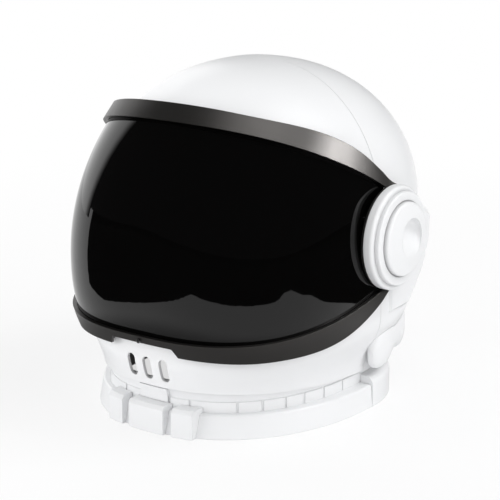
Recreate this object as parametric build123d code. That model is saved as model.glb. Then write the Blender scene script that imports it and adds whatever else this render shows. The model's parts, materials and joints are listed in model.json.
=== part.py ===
"""Astronaut helmet with a tilting smoked visor, standing on its neck collar.

Millimetres. The helmet faces -Y, +Z is up and the ears are on the X axis.
The parts are laid out with the visor's axis at y = 0 and moved together at the end,
so that the origin lies under the middle of the whole helmet.
"""
import math
import os

from build123d import *

os.makedirs("parts", exist_ok=True)

# The whole helmet. Every outline share below is a share of total_height.
total_height = 300.0
running_gap = 0.4
fit_gap = 0.05
seam_half_gap = 0.2
reach_past = 40.0

# The axis of the visor, through both ears.
pivot_height = 156.5

# White shell: the dome above its widest level, then the table of levels down to the jaw edge.
dome_base_height = 162.6
dome_half_width = 129.5
dome_front_reach = 163.0
dome_rear_reach = 168.2
dome_side_power = 2.156
dome_front_power = 2.75
dome_rear_power = 1.94
dome_level_angles = (0, 15, 29, 42, 54, 65, 74, 81, 86, 88.5)
dome_plan_powers = (1.86, 2.18)
shell_wall = 3.0
shell_height_shares = (0.08, 0.1033, 0.1333, 0.1667, 0.2, 0.2367, 0.2833, 0.3333, 0.4, 0.4667)
shell_side_shares = (0.376, 0.38, 0.385, 0.395, 0.4117, 0.43, 0.4367, 0.4357, 0.4333, 0.4323)
shell_front_shares = (0.4983, 0.505, 0.5133, 0.5217, 0.5307, 0.53, 0.53, 0.532, 0.535, 0.5387)
shell_rear_shares = (0.326, 0.34, 0.3667, 0.3967, 0.4283, 0.46, 0.4917, 0.5183, 0.5417, 0.555)
shell_front_powers = (2.35, 2.35, 2.35, 2.35, 2.35, 2.3, 2.2, 2.1, 2.0, 1.92)
shell_rear_powers = (2.2, 2.2, 2.2, 2.2, 2.2, 2.2, 2.2, 2.2, 2.2, 2.19)
shell_edge_height = 30.9
jaw_edge_slope_share = 0.0496

# Face opening behind the visor and the three vent slots in the chin.
opening_rear = 52.0
opening_bottom = 103.0
opening_top_margin = 4.0
opening_corner = 22.0
opening_front = 210.0
vent_pitch = 17.0
vent_width = 8.6
vent_bottom = 44.6
vent_top = 65.0
vent_inner_reach = 120.0

# Flat-faced fairing behind each ear, hollow on its inside.
fairing_rear_shares = (0.0333, 0.2117, 0.2817, 0.2783, 0.245, 0.1617, 0.0333)
fairing_height_shares = (0.6333, 0.59, 0.5417, 0.4617, 0.375, 0.275, 0.2667)
fairing_face = 133.0
fairing_root = 96.0
fairing_bevel = 6.0

# Room in the fairing for the visor's brow bar when the visor is up.
sweep_radius = 52.0
sweep_face = 127.5
sweep_below = 6.0

# Ear seat on the front shell, its screw boss and the two locating holes.
ear_seat_radius = 28.0
ear_seat_face = 132.4
ear_boss_radius = 12.0
ear_boss_face = 122.7
pin_radius = 1.5
pin_offset = 8.0
pin_length = 3.5

# Screws across the seam: places of the bosses as (half width, height).
seam_boss_places = ((80.7, 264.5), (123.4, 105.0))
seam_boss_radius = 5.0
seam_boss_front = 16.0
seam_boss_rear = 12.0
seam_screw_radius = 1.5
seam_head_radius = 3.2
seam_head_height = 2.4

# Neck roll round the nape.
roll_inner_half_width = 119.0
roll_inner_rear = 149.0
roll_outer_half_width = 131.5
roll_outer_rear = 177.0
roll_plan_power = 2.2
roll_height = 57.0
roll_half_height = 19.0
roll_end_height = 47.0
roll_end_half_height = 15.0
roll_forward = 28.0
roll_first_angle = 7
roll_segments = 9
roll_groove_share = 0.86
roll_section_power = 2.6
roll_end_shares = (0.3, 0.72, 0.93)
roll_end_steps = (0, 1.2, 3)

# Neck collar: lower band, ledge, and the recessed ring inside the shell's edge.
collar_half_width = 124.6
collar_front = 159.3
collar_top_half_width = 123.0
collar_top_front = 154.1
collar_power = 2.2
collar_ledge = 20.0
collar_bevel = 1.2
collar_wall = 3.0
ring_top = 45.0
rear_collar_reach = 101.5
rear_collar_height = 27.0
rear_collar_round = 8.0
round_angles = (0, 20, 40, 60, 78, 90)
neck_ring_clearance = 0.5
tile_proud = 1.0
tile_top = 29.5
tile_gap = 2.0
tile_line_angles = (5.8, 13.5, 29, 37.5, 46, 54, 64, 76)
chin_pad_half_width = 15.0
chin_pad_proud = 2.5
chin_pad_bottom = 25.0
chin_pad_top = 37.0

# Three raised blocks on the front of the collar.
block_half_width = 127.9
block_front = 162.3
block_power = 2.35
block_top = 24.7
block_bevel = 3.0
block_ranges = ((-18.5, 18.5), (26.5, 45.5), (-45.5, -26.5))
block_names = ("centre", "left", "right")

# Screws that hold the collar in the shells.
collar_screw_radius = 1.5
collar_head_radius = 3.5
collar_head_height = 2.0
collar_screw_height = 40.0
collar_screw_offset = 20.0
collar_screw_bite = 1.8
collar_end_screw_heights = (42.5, 37.0)

# Visor: surfaces as sections through the axis, each a superellipse.
section_angles = (-30, 5, 45)
lens_half_width = 136.8
lens_reaches = (181.0, 176.0, 178.0)
lens_powers = (2.91, 2.43, 1.93)
lens_wall = 2.5
frame_half_width = 140.3
frame_reaches = (184.5, 180.5, 181.5)
frame_powers = (2.9, 2.45, 1.97)
frame_wall = 2.5
frame_seat_gap = 0.2
fan_angles = (-100, -82, -64, -48, -36, -24, -12, 0, 12, 24, 36, 48, 64, 82, 100, 120)
fan_core = 14.0
section_steps = 18

# Edges of the visor seen from the side: height shares over the share ahead of the axis.
brow_low_shares = (0.6573, 0.6020, -0.3054)
brow_top_shares = (0.6863, 0.7241, -0.4454)
chin_high_shares = (0.3825, -0.2725, 0.1771)
chin_low_shares = (0.3663, -0.5311, 0.5420)
brow_tip_ahead = -18.0
brow_tip_height = 197.5
visor_front = 205.0
lens_overlap = 5.0
lens_rear = 2.0
lip_width = 3.0
notch_half_width = 32.0
notch_height = 8.0
notch_slope = 4.0
notch_depth_place = 156.0
notch_back = 90.0
notch_corner = 2.5
solid_chin_half_width = 34.0

# Ear discs of the visor frame, their bushes and the curved stop slot.
disc_radius = 44.0
disc_inner_face = 133.8
disc_rim_face = 136.6
disc_outer_face = 138.0
disc_core_radius = 38.0
lens_core_gap = 0.4
knob_clear_radius = 46.5
hub_radius = 14.0
bush_radius = 18.0
bush_flange_radius = 20.5
bush_flange_height = 1.0
friction_inner_radius = 21.5
friction_outer_radius = 25.5
friction_height = 1.1
stop_radius = 31.0
stop_pin_radius = 2.0
stop_pin_angle = 100
stop_sweep = 65
stop_slot_width = 5.0

# Rivets: one at the chin and two under each knob.
rivet_radius = 1.2
rivet_head_radius = 2.0
rivet_head_height = 0.9
chin_rivet_height = 81.2
chin_rivet_inner = 161.2
chin_rivet_outer = 168.6
ear_rivet_place = 41.0
ear_rivet_angles = (-32, 32)
ear_rivet_inner = 131.6

# Stepped white knob over each ear.
knob_flange_face = 138.4
knob_flange_radius = 45.0
knob_flange_top = 147.6
knob_edge = 1.2
knob_round = 3.0
knob_ring_radius = 40.4
knob_ring_top = 151.8
knob_ring_edge = 1.6
knob_pocket_radius = 32.0
knob_pocket_floor = 147.0
knob_hole_floor = 142.8
cap_radius = 31.6
cap_edge_top = 155.8
cap_top = 157.0
cap_round = 2.6
scoop_radius = 16.0
scoop_rise = 2.0
scoop_depth = 3.5
scoop_rise_slope = 0.25
scoop_rear_slope = 0.13
scoop_length = 30.0

# Pivot screws from inside the shell and their washers.
screw_radius = 2.5
screw_head_radius = 4.75
screw_head_height = 3.4
screw_end = 141.5
socket_radius = 2.0
socket_depth = 1.8
washer_radius = 7.5
washer_height = 1.0

# Foam comfort pads inside the shell.
pad_seat_gap = 0.15
crown_pad_size = (118.0, 128.0, 34.0)
crown_pad_bottom = 277.0
crown_pad_corner = 30.0
pad_edge = 7.0
channel_radius = 3.5
brow_pad_size = (112.0, 40.0, 30.0)
brow_pad_inner = 149.0
brow_pad_angle = 51
nape_pad_size = (104.0, 40.0, 64.0)
nape_pad_inner = 149.0
nape_pad_height = 132.0
side_pad_size = (40.0, 56.0, 46.0)
side_pad_inner = 103.0
side_pad_ahead = 44.0
side_pad_height = 75.0
side_pad_turn = 12
channel_share = 0.175

# How the curves are drawn.
outline_steps = 24


def rounded_share(share, power):
    """Share of the reach left on a superellipse at a share of its other axis."""
    return max(1 - share ** power, 0) ** (1 / power)


def plan_point(half_width, front, rear, front_power, rear_power, angle):
    """Point of a horizontal outline at an angle from +X towards +Y, in degrees."""
    across = math.cos(math.radians(angle))
    along = math.sin(math.radians(angle))
    power = rear_power if along > 0 else front_power
    reach = rear if along > 0 else front
    x = math.copysign(half_width * abs(across) ** (2 / power), across)
    y = math.copysign(reach * abs(along) ** (2 / power), along)
    return x, y


def plan_face(half_width, front, rear, front_power, rear_power, height):
    """Horizontal face inside one closed outline."""
    points = []
    for step in range(outline_steps):
        angle = 360 * step / outline_steps
        x, y = plan_point(half_width, front, rear, front_power, rear_power, angle)
        points.append((x, y, height))
    return make_face(Spline(*points, periodic=True))


def shell_body(inset):
    """Solid inside the white shell's outer surface, drawn in by the inset."""
    faces = []
    for row, share in enumerate(shell_height_shares):
        faces.append(
            plan_face(
                total_height * shell_side_shares[row] - inset,
                total_height * shell_front_shares[row] - inset,
                total_height * shell_rear_shares[row] - inset,
                shell_front_powers[row],
                shell_rear_powers[row],
                total_height * share,
            )
        )
    rise = total_height - inset - dome_base_height
    for angle in dome_level_angles:
        share = math.sin(math.radians(angle))
        faces.append(
            plan_face(
                (dome_half_width - inset) * rounded_share(share, dome_side_power),
                (dome_front_reach - inset) * rounded_share(share, dome_front_power),
                (dome_rear_reach - inset) * rounded_share(share, dome_rear_power),
                dome_plan_powers[0],
                dome_plan_powers[1],
                dome_base_height + rise * share,
            )
        )
    return loft(faces)


def row_value(shares, height):
    """Outline share at a height between the rows of the shell's table, times the height."""
    share = height / total_height
    rows = shell_height_shares
    for row in range(len(rows) - 1):
        if share <= rows[row + 1]:
            part = (share - rows[row]) / (rows[row + 1] - rows[row])
            return total_height * (shares[row] + part * (shares[row + 1] - shares[row]))
    return total_height * shares[-1]


def block(x_range, y_range, z_range):
    """Box between two planes on each axis."""
    size = [top - low for low, top in (x_range, y_range, z_range)]
    middle = [(top + low) / 2 for low, top in (x_range, y_range, z_range)]
    return Pos(*middle) * Box(*size)


def ear_rod(radius, near, far, ahead=0, rise=0):
    """Round rod along +X beside the visor's axis, between two distances from the middle."""
    place = Pos((near + far) / 2, -ahead, pivot_height + rise)
    return place * (Rot(0, 90, 0) * Cylinder(radius, far - near))


def depth_rod(radius, near, far, x, height):
    """Round rod along Y between two places."""
    return Pos(x, (near + far) / 2, height) * (Rot(90, 0, 0) * Cylinder(radius, abs(far - near)))


def other_side(shape):
    """The same shape on the -X side."""
    return mirror(shape, about=Plane.YZ)


def both_sides(shape):
    """A shape and its mirror image, as one list of tools."""
    return [shape, other_side(shape)]


def fused(shape, tools):
    """A shape joined with a list of others."""
    return shape + tools


def cut(shape, tools):
    """A shape with a list of others taken out of it."""
    return shape - tools


def section_value(values, angle):
    """Value at an angle above forward, on the parabola through the three stated angles."""
    low, middle, high = section_angles
    angle = min(max(angle, low), high)
    low_part = (angle - middle) * (angle - high) / ((low - middle) * (low - high))
    middle_part = (angle - low) * (angle - high) / ((middle - low) * (middle - high))
    high_part = (angle - low) * (angle - middle) / ((high - low) * (high - middle))
    return values[0] * low_part + values[1] * middle_part + values[2] * high_part


def fan_section(half_width, reaches, powers, angle, inset):
    """One half-plane section of the visor's form, from the core radius outwards."""
    width = half_width - inset
    reach = section_value(reaches, angle) - inset
    power = section_value(powers, angle)
    start = math.asin((fan_core / reach) ** (power / 2))
    ahead = -math.cos(math.radians(angle))
    up = math.sin(math.radians(angle))
    points = []
    for step in range(section_steps + 1):
        turn = start + (math.pi - 2 * start) * step / section_steps
        across = math.cos(turn)
        x = math.copysign(width * abs(across) ** (2 / power), across)
        radius = reach * math.sin(turn) ** (2 / power)
        points.append((x, ahead * radius, pivot_height + up * radius))
    return make_face([Spline(*points), Line(points[-1], points[0])])


def fan_body(half_width, reaches, powers, inset):
    """Solid inside one of the visor's curved surfaces, round the axis."""
    faces = [fan_section(half_width, reaches, powers, angle, inset) for angle in fan_angles]
    return loft(faces)


def edge_height(shares, ahead):
    """Height of a visor edge seen from the side, at a distance ahead of the axis."""
    part = ahead / total_height
    return total_height * (shares[0] + shares[1] * part + shares[2] * part * part)


def edge_points(shares, start, stop, lift=0):
    """Points along a visor edge, from start to stop ahead of the axis."""
    points = []
    for step in range(9):
        ahead = start + (stop - start) * step / 8
        points.append((0, -ahead, edge_height(shares, ahead) + lift))
    return points


def side_prism(upper, lower):
    """Bar across the helmet whose side view lies between an upper and a lower curve."""
    edges = [Spline(*upper), Line(upper[-1], lower[-1]), Spline(*lower), Line(lower[0], upper[0])]
    return extrude(make_face(edges), amount=frame_half_width + reach_past, dir=(1, 0, 0), both=True)


def rod_profile(points):
    """Body turned about the +X ear axis from (distance from the middle, radius) points."""
    outline = [(along, 0, radius) for along, radius in points]
    face = make_face(Polyline(*outline, close=True))
    return Pos(0, 0, pivot_height) * revolve(face, axis=Axis.X)


outer_body = shell_body(0)
inner_body = shell_body(shell_wall)
seat_body = shell_body(shell_wall + pad_seat_gap)
side_span = dome_half_width + reach_past
depth_span = dome_rear_reach + reach_past
height_span = total_height + reach_past


def fairing(inset):
    """Fairing behind the +X ear, as a bevelled plate, or the hollow in it."""
    corners = []
    for row, share in enumerate(fairing_rear_shares):
        corners.append((0, total_height * share, total_height * fairing_height_shares[row]))
    face = make_face(Polyline(*corners, close=True))
    if inset > 0:
        face = offset(face, amount=-inset, kind=Kind.INTERSECTION)
    plate = extrude(Pos(fairing_root, 0, 0) * face, amount=fairing_face - inset - fairing_root, dir=(1, 0, 0))
    rim = plate.faces().sort_by(Axis.X)[-1].edges()
    plate = chamfer(rim, fairing_bevel - inset / 2)
    room = ear_rod(sweep_radius + inset, sweep_face - inset, side_span)
    behind = block((0, side_span), (0, depth_span), (pivot_height - sweep_below - inset, height_span))
    return plate - (room & behind)


def opening_prism():
    """Bar through the face, with round corners at its rear."""
    low_rear = (0, -opening_rear, opening_bottom)
    top = edge_points(brow_low_shares, opening_rear, opening_front, opening_top_margin)
    edges = [
        Spline(*top),
        Line(top[-1], (0, -opening_front, opening_bottom)),
        Line((0, -opening_front, opening_bottom), low_rear),
        Line(low_rear, top[0]),
    ]
    bar = extrude(make_face(edges), amount=side_span, dir=(1, 0, 0), both=True)
    rear_edges = bar.edges().filter_by(Axis.X).sort_by(Axis.Y)[-2:]
    return fillet(rear_edges, opening_corner)


def shell_half(front):
    """Room of the front or the rear shell: the jaw's lower edge rises towards the chin."""
    if front:
        corners = [
            (0, -seam_half_gap, shell_edge_height),
            (0, -depth_span, shell_edge_height + jaw_edge_slope_share * depth_span),
            (0, -depth_span, height_span),
            (0, -seam_half_gap, height_span),
        ]
    else:
        corners = [
            (0, seam_half_gap, shell_edge_height),
            (0, depth_span, shell_edge_height),
            (0, depth_span, height_span),
            (0, seam_half_gap, height_span),
        ]
    face = make_face(Polyline(*corners, close=True))
    return extrude(face, amount=side_span, dir=(1, 0, 0), both=True)


def vent_slot(x):
    """Slot through the chin with round ends."""
    slot = block(
        (x - vent_width / 2, x + vent_width / 2),
        (-depth_span, -vent_inner_reach),
        (vent_bottom, vent_top),
    )
    return fillet(slot.edges().filter_by(Axis.Y), vent_width / 2 - fit_gap)


def build_shells():
    """Front and rear shell with ear seats, seam bosses and fairings."""
    ear_seat = ear_rod(ear_seat_radius, dome_half_width - shell_wall, ear_seat_face)
    ear_boss = ear_rod(ear_boss_radius, ear_boss_face, dome_half_width)
    wall = outer_body - inner_body
    tab_rod = ear_rod(ear_seat_radius, dome_half_width - reach_past, side_span)
    front = (wall & fused(shell_half(True), both_sides(tab_rod))) - opening_prism()
    front = fused(front, both_sides(ear_seat) + both_sides(ear_boss))
    rear = fused(outer_body & shell_half(False), both_sides(fairing(0)))
    rear = cut(rear, [inner_body] + both_sides(fairing(shell_wall)))
    tab_room = ear_rod(ear_seat_radius + running_gap, dome_half_width - reach_past, side_span)
    rear = cut(rear, both_sides(tab_room))
    for x, z in seam_boss_places:
        front_boss = depth_rod(seam_boss_radius, -seam_boss_front, -seam_half_gap, x, z)
        rear_boss = depth_rod(seam_boss_radius, seam_half_gap, seam_boss_rear, x, z)
        front_hole = depth_rod(seam_screw_radius + fit_gap, -seam_boss_front, 0, x, z)
        rear_hole = depth_rod(seam_screw_radius + seam_half_gap, 0, seam_boss_rear, x, z)
        front = cut(fused(front, both_sides(front_boss)), both_sides(front_hole))
        rear = cut(fused(rear, both_sides(rear_boss)), both_sides(rear_hole))
    bore = ear_rod(screw_radius + running_gap, ear_boss_face - reach_past, side_span)
    front = cut(front, both_sides(bore))
    for sense in (-1, 1):
        pin_hole = ear_rod(
            pin_radius + fit_gap, ear_seat_face - pin_length - running_gap, side_span, sense * pin_offset
        )
        front = cut(front, both_sides(pin_hole))
    front = cut(front, [vent_slot(sense * vent_pitch) for sense in (-1, 0, 1)])
    return front, rear


def roll_section(angle, size_share, end_share):
    """Upright section of the neck roll at an angle round the nape."""
    inner = plan_point(roll_inner_half_width, 0, roll_inner_rear, roll_plan_power, roll_plan_power, angle)
    outer = plan_point(roll_outer_half_width, 0, roll_outer_rear, roll_plan_power, roll_plan_power, angle)
    middle = roll_height + (roll_end_height - roll_height) * end_share
    half_height = roll_half_height + (roll_end_half_height - roll_half_height) * end_share
    points = []
    for step in range(16):
        turn = 2 * math.pi * step / 16
        across = math.cos(turn)
        rise = math.sin(turn)
        part = 0.5 + 0.5 * size_share * math.copysign(abs(across) ** (2 / roll_section_power), across)
        lift = half_height * size_share * math.copysign(abs(rise) ** (2 / roll_section_power), rise)
        x = inner[0] + (outer[0] - inner[0]) * part
        y = inner[1] + (outer[1] - inner[1]) * part - roll_forward
        points.append((x, y, middle + lift))
    return make_face(Spline(*points, periodic=True))


def build_neck_roll():
    """Padded-looking moulded roll in segments, with rounded ends."""
    last_angle = 180 - roll_first_angle
    pitch = (last_angle - roll_first_angle) / roll_segments
    stations = []
    for share, step in zip(roll_end_shares, roll_end_steps):
        stations.append((roll_first_angle + step, share))
    for segment in range(roll_segments):
        start = roll_first_angle + pitch * segment
        if segment > 0:
            stations.append((start, roll_groove_share))
        stations.append((start + pitch / 2, 1))
    for share, step in zip(reversed(roll_end_shares), reversed(roll_end_steps)):
        stations.append((last_angle - step, share))
    faces = []
    for angle, share in stations:
        from_end = min(angle, 180 - angle)
        end_share = max(1 - (from_end - roll_first_angle) / (1.3 * pitch), 0) ** 1.5
        faces.append(roll_section(angle, share, end_share))
    roll = loft(faces)
    return roll - shell_body(-fit_gap)


def ring_body(inset, bottom, top):
    """Recessed ring of the collar, a clearance inside the shell's wall."""
    inward = shell_wall + neck_ring_clearance + inset
    faces = []
    heights = [bottom]
    for height in (shell_edge_height, total_height * shell_height_shares[2]):
        if bottom < height < top:
            heights.append(height)
    heights.append(top)
    for height in heights:
        level = max(height, shell_edge_height)
        faces.append(
            plan_face(
                row_value(shell_side_shares, level) - inward,
                row_value(shell_front_shares, level) - inward,
                row_value(shell_rear_shares, level) - inward,
                shell_front_powers[0],
                shell_rear_powers[0],
                height,
            )
        )
    return loft(faces, ruled=True)


def front_band(inset, top):
    """Lower band of the front collar, a little narrower towards its ledge."""
    rear = collar_half_width
    faces = [
        plan_face(collar_half_width - inset, collar_front - inset, rear, collar_power, collar_power, 0),
        plan_face(
            collar_top_half_width - inset, collar_top_front - inset, rear, collar_power, collar_power,
            top - collar_bevel,
        ),
        plan_face(
            collar_top_half_width - inset - collar_bevel, collar_top_front - inset - collar_bevel, rear,
            collar_power, collar_power, top,
        ),
    ]
    return loft(faces, ruled=True)


def rear_band(inset, top):
    """Tall rear band of the collar with a rounded top."""
    faces = [
        plan_face(
            collar_half_width - inset, rear_collar_reach, rear_collar_reach - inset,
            collar_power, collar_power, 0,
        )
    ]
    for angle in round_angles:
        drawn_in = inset + rear_collar_round * (1 - math.cos(math.radians(angle)))
        height = top - rear_collar_round * (1 - math.sin(math.radians(angle)))
        faces.append(
            plan_face(
                collar_half_width - drawn_in, rear_collar_reach, rear_collar_reach - drawn_in,
                collar_power, collar_power, height,
            )
        )
    return loft(faces, ruled=True)


def front_ray_point(angle, half_width, front, power):
    """Where a ray from the axis, at an angle from forward, meets a front outline."""
    across = math.sin(math.radians(angle))
    ahead = math.cos(math.radians(angle))
    size = ((across / half_width) ** power + (ahead / front) ** power) ** (-1 / power)
    return across * size, -ahead * size


def tile_lines():
    """Upright gaps between the shallow tiles of the recessed ring."""
    inward = shell_wall + neck_ring_clearance
    half_width = row_value(shell_side_shares, shell_edge_height) - inward
    front = row_value(shell_front_shares, shell_edge_height) - inward
    height = tile_top - collar_ledge + tile_proud
    gaps = []
    for angle in tile_line_angles:
        x, y = front_ray_point(angle, half_width + tile_proud, front + tile_proud, shell_front_powers[0])
        gap = Pos(x, y, collar_ledge + height / 2) * (Rot(0, 0, angle) * Box(tile_gap, 2 * tile_proud, height))
        gaps = gaps + both_sides(gap)
    return gaps


def build_collars():
    """Front and rear half of the neck collar."""
    front_block = block((-side_span, side_span), (-depth_span, -seam_half_gap), (0, height_span))
    rear_block = block((-side_span, side_span), (seam_half_gap, depth_span), (0, height_span))
    ring = ring_body(0, collar_ledge - collar_wall, ring_top)
    through = ring_body(collar_wall, -running_gap, ring_top + running_gap)
    tiles = ring_body(-tile_proud, collar_ledge - running_gap, tile_top)
    chin_pad = ring_body(-chin_pad_proud, collar_ledge, chin_pad_top)
    chin_pad = chin_pad & block(
        (-chin_pad_half_width, chin_pad_half_width), (-depth_span, 0), (chin_pad_bottom, chin_pad_top)
    )
    front = fused(front_band(0, collar_ledge), [ring, tiles, chin_pad]) & front_block
    front = cut(front, [front_band(collar_wall, collar_ledge - collar_wall), through] + tile_lines())
    hollow_block = block((-side_span, side_span), (seam_half_gap + collar_wall, depth_span), (0, height_span))
    hollow = rear_band(collar_wall, rear_collar_height - collar_wall) & hollow_block
    rear = rear_band(0, rear_collar_height) - hollow
    rear = (rear + ring) & rear_block
    return front, rear - through


def collar_block(x_range):
    """Raised block over the front band, reaching back to the recessed ring."""
    rear = block_half_width
    faces = [
        plan_face(block_half_width, block_front, rear, block_power, block_power, 0),
        plan_face(block_half_width, block_front, rear, block_power, block_power, block_top - block_bevel),
        plan_face(
            block_half_width - block_bevel, block_front - block_bevel, rear,
            block_power, block_power, block_top,
        ),
    ]
    whole = loft(faces, ruled=True)
    inner = ring_body(-tile_proud - running_gap, -reach_past, collar_ledge + reach_past)
    body = whole & block(x_range, (-depth_span, 0), (0, height_span))
    band = front_band(-fit_gap, collar_ledge + fit_gap)
    return cut(body, [band, inner])


def band_prisms(lift_in, lift_out, grow):
    """Side bars of the brow band and the chin band."""
    brow_upper = edge_points(brow_top_shares, 0, visor_front, -lift_out)
    tip = (0, -brow_tip_ahead, brow_tip_height - lift_out)
    brow_lower = edge_points(brow_low_shares, brow_tip_ahead, visor_front, lift_in)
    brow = side_prism([tip] + brow_upper, brow_lower)
    chin_upper = edge_points(chin_high_shares, 0, visor_front, -lift_in)
    chin_lower = edge_points(chin_low_shares, 0, visor_front, lift_out + grow)
    return brow, side_prism(chin_upper, chin_lower)


def stop_slot(x_near, x_far):
    """Curved slot that limits the tilt, cut at rest from the stop pin's place downwards."""
    width = stop_slot_width / 2
    first = stop_pin_angle - stop_sweep
    points = []
    for radius, sense in ((stop_radius - width, 1), (stop_radius + width, -1)):
        for step in range(9):
            part = step / 8 if sense > 0 else 1 - step / 8
            angle = math.radians(first + stop_sweep * part)
            points.append((-math.cos(angle) * radius, math.sin(angle) * radius))
    inner_arc = [(x_near, y, pivot_height + z) for y, z in points[:9]]
    outer_arc = [(x_near, y, pivot_height + z) for y, z in points[9:]]
    edges = [
        Spline(*inner_arc), Line(inner_arc[-1], outer_arc[0]),
        Spline(*outer_arc), Line(outer_arc[-1], inner_arc[0]),
    ]
    slot = extrude(make_face(edges), amount=x_far - x_near, dir=(1, 0, 0))
    for angle in (first, stop_pin_angle):
        ahead = math.cos(math.radians(angle)) * stop_radius
        rise = math.sin(math.radians(angle)) * stop_radius
        slot = slot + ear_rod(width, x_near, x_far, ahead, rise)
    return slot


def chin_notch():
    """Shallow notch under the middle of the chin band."""
    top = edge_height(chin_low_shares, notch_depth_place) + notch_height
    low = top - reach_past
    corners = [
        (-notch_half_width - notch_slope, -notch_back, top - notch_height),
        (-notch_half_width, -notch_back, top),
        (notch_half_width, -notch_back, top),
        (notch_half_width + notch_slope, -notch_back, top - notch_height),
        (notch_half_width + notch_slope, -notch_back, low),
        (-notch_half_width - notch_slope, -notch_back, low),
    ]
    face = make_face(Polyline(*corners, close=True))
    bar = extrude(face, amount=depth_span - notch_back, dir=(0, -1, 0))
    top_edges = bar.edges().filter_by(Axis.Y).sort_by(Axis.Z)[-2:]
    return fillet(top_edges, notch_corner)


def build_visor():
    """Black frame, smoked lens and the ear discs that carry them."""
    frame_outer = fan_body(frame_half_width, frame_reaches, frame_powers, 0)
    frame_inner = fan_body(frame_half_width, frame_reaches, frame_powers, frame_wall)
    lens_room = fan_body(lens_half_width, lens_reaches, lens_powers, -frame_seat_gap)
    lens_outer = fan_body(lens_half_width, lens_reaches, lens_powers, 0)
    lens_inner = fan_body(lens_half_width, lens_reaches, lens_powers, lens_wall)
    brow, chin = band_prisms(0, 0, 0)
    bands = (frame_outer & brow) + (frame_outer & chin)
    brow_pocket, chin_pocket = band_prisms(lip_width, 0, -reach_past / 2)
    rear_of_ear = block((-side_span, side_span), (-disc_radius, depth_span), (0, height_span))
    chin_middle = block((-solid_chin_half_width, solid_chin_half_width), (-depth_span, 0), (0, pivot_height))
    pockets = [
        (frame_inner & brow_pocket) - rear_of_ear,
        (frame_inner & chin_pocket) - rear_of_ear - chin_middle,
    ]
    bands = cut(bands, pockets + [lens_room, chin_notch()])
    clear_of_knob = ear_rod(knob_clear_radius, disc_outer_face, frame_half_width + reach_past)
    bands = cut(bands, both_sides(clear_of_knob))
    disc_rim = ear_rod(disc_radius, disc_rim_face, disc_outer_face)
    disc = disc_rim + ear_rod(disc_core_radius, disc_inner_face, disc_outer_face)
    frame = fused(bands, both_sides(disc))
    hole = ear_rod(bush_radius + fit_gap, disc_inner_face - running_gap, frame_half_width)
    flange_room = ear_rod(
        bush_flange_radius + fit_gap, disc_inner_face - running_gap, disc_inner_face + bush_flange_height
    )
    slot = stop_slot(disc_inner_face - running_gap, disc_outer_face + running_gap)
    frame = cut(frame, both_sides(hole) + both_sides(flange_room) + both_sides(slot))
    lens_top = edge_points(brow_low_shares, lens_rear, visor_front, lens_overlap)
    lens_low = edge_points(chin_high_shares, lens_rear, visor_front, -lens_overlap)
    lens = (lens_outer & side_prism(lens_top, lens_low)) - lens_inner
    lens = cut(lens, both_sides(ear_rod(disc_core_radius + lens_core_gap, dome_half_width, side_span)))
    rivets = build_rivets()
    frame = cut(frame, rivet_holes())
    lens = cut(lens, rivet_holes())
    return frame, lens, rivets


def ear_rivet_places():
    """Places of the rivets round the ear, as distances ahead of and above the axis."""
    places = []
    for angle in ear_rivet_angles:
        ahead = math.cos(math.radians(angle)) * ear_rivet_place
        rise = math.sin(math.radians(angle)) * ear_rivet_place
        places.append((ahead, rise))
    return places


def rivet_holes():
    """Rivet holes with a small clearance, for the lens and the frame."""
    holes = [depth_rod(rivet_radius + fit_gap, -chin_rivet_inner + reach_past, -depth_span, 0, chin_rivet_height)]
    for ahead, rise in ear_rivet_places():
        hole = ear_rod(rivet_radius + fit_gap, ear_rivet_inner - running_gap, side_span, ahead, rise)
        holes = holes + both_sides(hole)
    return holes


def build_rivets():
    """One domed rivet at the chin and flush ones under the knobs."""
    chin = depth_rod(rivet_radius, -chin_rivet_inner, -chin_rivet_outer, 0, chin_rivet_height)
    head = depth_rod(
        rivet_head_radius, -chin_rivet_outer, -chin_rivet_outer - rivet_head_height, 0, chin_rivet_height
    )
    head = fillet(head.edges().sort_by(Axis.Y)[:1], rivet_head_height * 0.6)
    rivets = [chin + head]
    for ahead, rise in ear_rivet_places():
        rivets = rivets + both_sides(ear_rod(rivet_radius, ear_rivet_inner, disc_outer_face, ahead, rise))
    return Compound(children=rivets)


def round_corner(top, radius, size):
    """Rounded outer corner of a turned body, from its side to its end face."""
    corner = []
    for angle in round_angles:
        drawn_in = size * (1 - math.cos(math.radians(angle)))
        corner.append((top - size * (1 - math.sin(math.radians(angle))), radius - drawn_in))
    return corner


def knob_base():
    """Stepped disc with the hub that the visor turns on, the locating pins and the stop pin."""
    profile = [
        (ear_seat_face, 0),
        (ear_seat_face, hub_radius),
        (knob_flange_face, hub_radius),
        (knob_flange_face, knob_flange_radius - knob_edge),
        (knob_flange_face + knob_edge, knob_flange_radius),
    ]
    profile = profile + round_corner(knob_flange_top, knob_flange_radius, knob_round)
    profile.append((knob_flange_top, knob_ring_radius))
    profile = profile + round_corner(knob_ring_top, knob_ring_radius, knob_ring_edge)
    profile = profile + [
        (knob_ring_top, knob_pocket_radius + knob_edge),
        (knob_ring_top - knob_edge, knob_pocket_radius),
        (knob_pocket_floor, knob_pocket_radius),
        (knob_pocket_floor, 0),
    ]
    body = rod_profile(profile)
    body = body - ear_rod(screw_radius + fit_gap, ear_seat_face - running_gap, knob_hole_floor)
    for sense in (-1, 1):
        body = body + ear_rod(pin_radius, ear_seat_face - pin_length, ear_seat_face + fit_gap, sense * pin_offset)
    ahead = math.cos(math.radians(stop_pin_angle)) * stop_radius
    rise = math.sin(math.radians(stop_pin_angle)) * stop_radius
    pin = ear_rod(stop_pin_radius, disc_inner_face + running_gap, knob_flange_face + fit_gap, ahead, rise)
    return body + pin


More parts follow.
